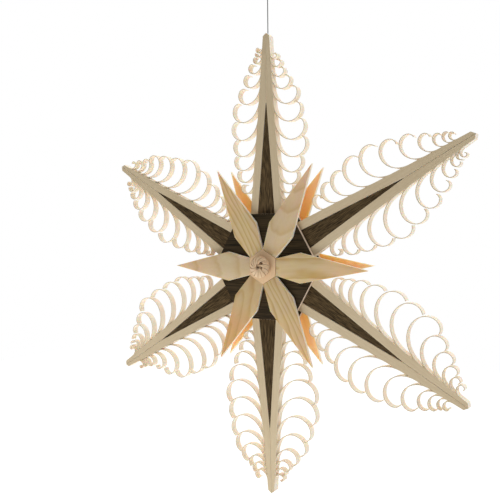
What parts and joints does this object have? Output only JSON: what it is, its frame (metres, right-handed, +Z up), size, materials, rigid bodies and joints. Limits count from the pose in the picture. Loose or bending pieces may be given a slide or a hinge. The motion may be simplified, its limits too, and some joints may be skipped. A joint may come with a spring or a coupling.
{
  "type": "wood shaving star ornament",
  "caption": "Hanging six-rayed wooden star whose ray edges are shaved into rows of curls, with pointed petals and a curled rosette on a hexagon hub.",
  "frame": {"origin": "inside top of the hanging loop, where it sits on a hook", "axes": "+Z up along the thread, the star hangs in the XZ plane and its front faces -Y"},
  "size_m": [0.316, 0.0332, 0.4219],
  "materials": {
    "shaved_strip": "pale planed lime-like wood, its edges shaved up into thin curls",
    "dark_wedge": "dark brown stained wood, fine straight grain, matt",
    "core": "pale wood, hidden between the plates",
    "dark_plate": "near-black brown stained thin board, matt",
    "petal": "pale pine with growth rings, sanded, unvarnished",
    "cap": "pinkish pale wood, sanded",
    "rosette": "thin pale shavings curled into a tuft",
    "thread": "thin grey twisted thread"
  },
  "bodies": {
    "loop": {"hanging_loop": "thread"},
    "thread": {"loop_knot": "thread", "hanging_thread": "thread"},
    "star": {"top_ray_left_strip": "shaved_strip", "top_ray_right_strip": "shaved_strip", "top_ray_dark_wedge": "dark_wedge", "upper_right_ray_left_strip": "shaved_strip", "upper_right_ray_right_strip": "shaved_strip", "upper_right_ray_dark_wedge": "dark_wedge", "lower_right_ray_left_strip": "shaved_strip", "lower_right_ray_right_strip": "shaved_strip", "lower_right_ray_dark_wedge": "dark_wedge", "bottom_ray_left_strip": "shaved_strip", "bottom_ray_right_strip": "shaved_strip", "bottom_ray_dark_wedge": "dark_wedge", "lower_left_ray_left_strip": "shaved_strip", "lower_left_ray_right_strip": "shaved_strip", "lower_left_ray_dark_wedge": "dark_wedge", "upper_left_ray_left_strip": "shaved_strip", "upper_left_ray_right_strip": "shaved_strip", "upper_left_ray_dark_wedge": "dark_wedge", "hub_core": "core", "front_cover_plate": "dark_plate", "front_cap": "cap", "front_rosette": "rosette", "front_petal_1": "petal", "front_petal_2": "petal", "front_petal_3": "petal", "front_petal_4": "petal", "front_petal_5": "petal", "front_petal_6": "petal", "back_cover_plate": "dark_plate", "back_cap": "cap", "back_rosette": "rosette", "back_petal_1": "petal", "back_petal_2": "petal", "back_petal_3": "petal", "back_petal_4": "petal", "back_petal_5": "petal", "back_petal_6": "petal"}
  },
  "joints": [
    {"name": "swing", "type": "hinge", "parent": "loop", "child": "thread", "pos_m": [0, 0, -0.0255], "axis": [1, 0, 0], "range_deg": [-30, 30]},
    {"name": "turn", "type": "hinge", "parent": "thread", "child": "star", "pos_m": [0, 0, -0.061], "axis": [0, 0, 1], "continuous": true}
  ]
}
